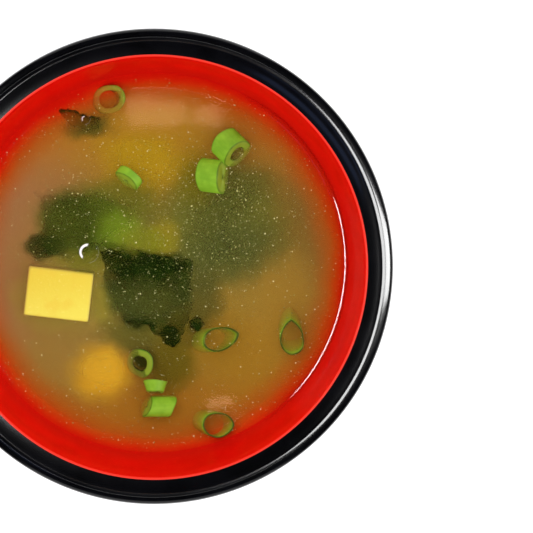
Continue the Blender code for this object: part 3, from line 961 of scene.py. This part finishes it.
def scallion(name, cut_colour, inside_colour):
    """Skin, cut face and inside, told apart by where a spot is across and along the wall."""
    material, bench, fill = new_material(name)
    place, x, y, z = bench.spot()
    across = bench.node("ShaderNodeAttribute", {"attribute_name": "across"}, output=2)
    cut = bench.node("ShaderNodeAttribute", {"attribute_name": "cut"}, output=2)
    line = bench.node("ShaderNodeAttribute", {"attribute_name": "line"}, output=2)
    grain = bench.node("ShaderNodeAttribute", {"attribute_name": "grain"}, output=1)
    ribs = bench.noise(grain, 0.7, 2.0)
    tone = bench.noise(place, 2.6, 2.0)
    skin = bench.mix(srgb("709c20"), srgb("82ac28"), tone.within(0.3, 0.7))
    skin = bench.mix(skin, srgb("5c8418"), ribs.within(0.60, 0.35) * 0.16)
    inside = bench.mix(srgb(inside_colour), srgb("88982a"), ribs.within(0.4, 0.8) * 0.6)
    face = bench.mix(srgb(cut_colour), srgb("8ea02e"), tone.within(0.45, 0.8) * 0.5)
    wall = bench.mix(inside, skin, across.within(0.4, 0.6))
    paint = bench.mix(wall, face, cut)
    paint = bench.mix(paint, srgb("35480a"), line * (0.15 + 0.7 * ribs))
    fill(
        Base_Color=through_broth(bench, paint, place, z),
        Roughness=0.40 + 0.15 * tone,
        Specular_IOR_Level=0.05,
        Normal=bench.bump(ribs, 0.03 * MM),
    )
    return material


def cut_leaf(name, size, wall, length, turn, lean, slant=(0.0, 0.0), taper=1.0, point=0.0, crease=0.0):
    """A short tube drawn ring by ring up its skin, over the cut and down its inside."""
    end, near_end = length / 2, 0.26
    soft = min(0.18 * wall, 0.12)
    # How far across the wall, how high, how much of the cut face and how much of its dark edge.
    section = [
        (1.0, -end, 0.0, 1.0), (1.0, -end + near_end, 0.0, 0.0), (1.0, -end / 2, 0.0, 0.0),
        (1.0, end / 2, 0.0, 0.0), (1.0, end - near_end, 0.0, 0.0), (1.0, end - soft, 0.0, 1.0),
        (0.92, end - soft / 3, 0.6, 1.0), (0.80, end, 1.0, 0.0), (0.5, end, 1.0, 0.0),
        (0.20, end, 1.0, 0.0), (0.08, end - soft / 3, 0.8, 0.1), (0.0, end - soft, 0.5, 0.2),
        (0.0, end - near_end, 0.0, 0.0), (0.0, end / 2, 0.0, 0.0), (0.0, -end / 2, 0.0, 0.0),
        (0.0, -end + near_end, 0.0, 0.0), (0.0, -end, 0.0, 0.0),
    ]  # fmt: skip
    radius = (size[0] + size[1]) / 4
    drift = math.radians(slant[1] - turn)
    drift = Vector((math.cos(drift) * slant[0], math.sin(drift) * slant[0], 1.0))
    wobble = random.Random(name)
    phases = [wobble.uniform(0, 2 * math.pi) for _ in range(4)]
    deselect()
    bpy.ops.mesh.primitive_circle_add(
        vertices=SCALLION_SIDES, radius=radius * MM, location=drift * -end * MM, fill_type="NOTHING"
    )
    piece = bpy.context.object
    piece.name = piece.data.name = name
    bpy.ops.object.transform_apply()
    bpy.ops.object.mode_set(mode="EDIT")
    bpy.ops.mesh.select_all(action="SELECT")
    now, high = radius, -end
    for share, height, _, _ in section[1:] + section[:1]:
        narrowing = 1 + (taper - 1) * (height + end) / length
        wanted = (radius - wall * (1 - share)) * narrowing
        bpy.ops.mesh.extrude_edges_move(TRANSFORM_OT_translate={"value": drift * (height - high) * MM})
        size_now = (wanted / now, wanted / now, 1.0)
        bpy.ops.transform.resize(value=size_now, center_override=drift * height * MM)
        now, high = wanted, height
    bpy.ops.mesh.select_all(action="SELECT")
    bpy.ops.mesh.remove_doubles(threshold=0.001 * MM)
    bpy.ops.object.mode_set(mode="OBJECT")
    across, cut, line, grain = [], [], [], []
    for spot in piece.data.vertices:
        up = spot.co.z / MM
        flat = spot.co / MM - drift * up
        around = math.atan2(flat.y, flat.x)
        narrowing = 1 + (taper - 1) * (up + end) / length
        share = 1 - (radius - flat.length / narrowing) / wall
        across.append(share)
        ring = min(section, key=lambda p: abs(p[0] - share) + 3 * abs(p[1] - up))
        cut.append(ring[2])
        line.append(ring[3])
        grain += [flat.x, flat.y, up * 0.12]
        bend = 1 + 0.025 * math.sin(2 * around + phases[0]) + 0.025 * math.sin(3 * around + phases[1])
        bend += 0.012 * math.sin(5 * around + phases[2])
        bend += point * math.exp(-abs(around) / 0.55)
        bend -= crease * hump(math.cos(around - phases[2]), 1.0, 0.08)
        flat.x *= size[0] / 2 / radius * bend
        flat.y *= size[1] / 2 / radius * bend
        wave = 0.10 * math.sin(3 * around + phases[3]) * up / end
        spot.co = (flat + drift * up + Vector((0.0, 0.0, wave))) * MM
    for title, values in (("across", across), ("cut", cut), ("line", line)):
        piece.data.attributes.new(title, "FLOAT", "POINT").data.foreach_set("value", values)
    piece.data.attributes.new("grain", "FLOAT_VECTOR", "POINT").data.foreach_set("vector", grain)
    pose = Matrix.Rotation(math.radians(lean[1]), 4, "Z") @ Matrix.Rotation(math.radians(lean[0]), 4, "Y")
    piece.matrix_world = pose @ Matrix.Rotation(math.radians(turn - lean[1]), 4, "Z")
    bpy.ops.object.transform_apply()
    return piece


SCALLION = scallion("scallion", "7c9226", "4e5c12")
SCALLION_TIP = scallion("scallion tip", "3c480a", "74901e")
for node, shape in SCALLIONS.items():
    low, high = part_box(node)
    piece = cut_leaf(node.replace("scallion", "scallion_cut"), **shape)
    highest = max(spot.co.z for spot in piece.data.vertices)
    upright = shape["lean"][0] < 30
    rim = [spot.co for spot in piece.data.vertices if not upright or spot.co.z > highest - 0.6 * MM]
    middle_x = (min(spot.x for spot in rim) + max(spot.x for spot in rim)) / 2
    middle_y = (min(spot.y for spot in rim) + max(spot.y for spot in rim)) / 2
    top = high.z - (0.6 * MM if shape["wall"] < 0.5 else 0.0)
    bpy.ops.object.mode_set(mode="EDIT")
    bpy.ops.mesh.select_all(action="SELECT")
    shift = SCALLION_SHIFTS.get(node, (0.0, 0.0, 0.0))
    move = (
        (low.x + high.x) / 2 - middle_x + shift[0] * MM,
        (low.y + high.y) / 2 - middle_y + shift[1] * MM,
        top - highest + shift[2] * MM,
    )
    bpy.ops.transform.translate(value=move)
    set_aside(piece, SCALLION_TIP if shape["wall"] < 0.5 else SCALLION, sharp=60)
    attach(piece, "root")
    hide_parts(node)


# ---------------------------------------------------------------------------------------------
# Bubbles. Thin domes of broth that rest on the surface, with a wet rim where they meet it.

# In millimetres: the middle, the radius and the height.
BUBBLES = ((-17.4, 3.26, 2.3, 0.8), (20.4, 31.0, 1.0, 0.5), (16.0, 25.2, 0.7, 0.3), (-18.0, 37.5, 0.95, 0.45))


def bubble_film():
    """Clear on top. Low on its flank towards -X it is painted white: a painted highlight where its edge catches the
    light.
    """
    material, bench, fill = new_material("bubble film")
    place, x, y, z = bench.spot()
    facing = bench.node("ShaderNodeNewGeometry", output=1)
    axes = bench.node("ShaderNodeSeparateXYZ", None, {0: facing}).socket.node.outputs
    across, along, up = (Wire(bench, axis) for axis in axes)
    # Painted highlight: a white crescent low on the flank that faces -X, made opaque there.
    painted_glint = (along * 0.39 - across * 0.92).within(0.10, 0.26)
    painted_glint = painted_glint * up.within(0.79, 0.82) * up.within(0.92, 0.89)
    fill(
        Base_Color=bench.mix(broth_colour(bench), (1.0, 1.0, 1.0, 1.0), painted_glint),
        Roughness=0.03,
        IOR=1.33,
        Alpha=0.02 + 0.95 * painted_glint,
    )
    return material


BUBBLE = bubble_film()
for number, (x, y, radius, height) in enumerate(BUBBLES, 1):
    crown = (radius**2 + height**2) / (2 * height)
    spread = math.degrees(math.asin(min(1.0, radius / crown)))
    dome = arc((0.0, -crown + height), crown, 90, 90 - spread, 14)
    foot = [(radius + 0.12, 0.06), (radius + 0.3, 0.02), (radius + 0.5, 0.0)]
    under = [(radius + 0.3, -0.1), (radius, -0.1), (radius * 0.5, -0.1), (0.0, -0.1)]
    profile = [(out * MM, LEVEL + up * MM) for out, up in dome + foot + under]
    piece = turned(f"bubble_{number}", profile, segments=64)
    bpy.ops.mesh.select_all(action="SELECT")
    bpy.ops.transform.translate(value=(x * MM, y * MM, 0.0))
    set_aside(piece, BUBBLE, sharp=80)
    piece.visible_shadow = False
    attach(piece, "root")


# ---------------------------------------------------------------------------------------------
# Miso specks. Grains of the paste, pale and tiny, which hang just under the surface. They gather
# over the leaves.

SPECK_COUNT = 7500
SPECK_SIZES = (0.07, 0.24)  # millimetres from the middle to a tip, of the smallest and the largest
SPECK_CROWDS = ((-18, 10, 12, 0.35), (-1, -7, 12, 0.2), (14, 10, 16, 0.9), (18, 20, 9, 0.5), (0, 22, 14, 0.3))


def miso_grain():
    material, bench, fill = new_material("miso grain")
    place, x, y, z = bench.spot()
    tone = bench.noise(place, 1.1, 0.0)
    grain = bench.mix(srgb("86843a"), srgb("e2dc9c"), tone.within(0.42, 0.68))
    fill(Base_Color=grain, Roughness=0.5, Specular_IOR_Level=0.2)
    return material


deselect()
bpy.ops.mesh.primitive_uv_sphere_add(segments=4, ring_count=2, radius=1.0)
grain = bpy.context.object
bpy.ops.object.mode_set(mode="EDIT")
bpy.ops.transform.vertex_random(offset=0.3, seed=2)
bpy.ops.object.mode_set(mode="OBJECT")
corners = [spot.co.copy() for spot in grain.data.vertices]
sides = [tuple(face.vertices) for face in grain.data.polygons]
bpy.data.objects.remove(grain)
scatter = random.Random(41)
points, faces = [], []
while len(faces) < SPECK_COUNT * len(sides):
    reach = (wall_radius(LEVEL) / MM - 1.5) * math.sqrt(scatter.random())
    turn = scatter.uniform(0, 2 * math.pi)
    x, y = reach * math.cos(turn), reach * math.sin(turn)
    crowd = sum(share * hump(x, cx, spread) * hump(y, cy, spread) for cx, cy, spread, share in SPECK_CROWDS)
    if scatter.random() > 0.2 + crowd:
        continue
    size = SPECK_SIZES[0] + (SPECK_SIZES[1] - SPECK_SIZES[0]) * scatter.random() ** 5
    down = -0.5 * scatter.random() ** 1.5
    pose = Euler([scatter.uniform(0, 6.28) for _ in range(3)]).to_matrix()
    stretch = Vector((1.0, scatter.uniform(0.5, 1.0), scatter.uniform(0.5, 1.0)))
    middle = Vector((x * MM, y * MM, LEVEL + down * MM))
    first = len(points)
    points += [middle + pose @ (corner * stretch) * size * MM for corner in corners]
    faces += [tuple(first + corner for corner in side) for side in sides]
mesh = bpy.data.meshes.new("miso_specks")
mesh.from_pydata(points, [], faces)
miso_specks = bpy.data.objects.new("miso_specks", mesh)
bpy.context.scene.collection.objects.link(miso_specks)
miso_specks.data.materials.append(miso_grain())
miso_specks.visible_shadow = False
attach(miso_specks, "root")
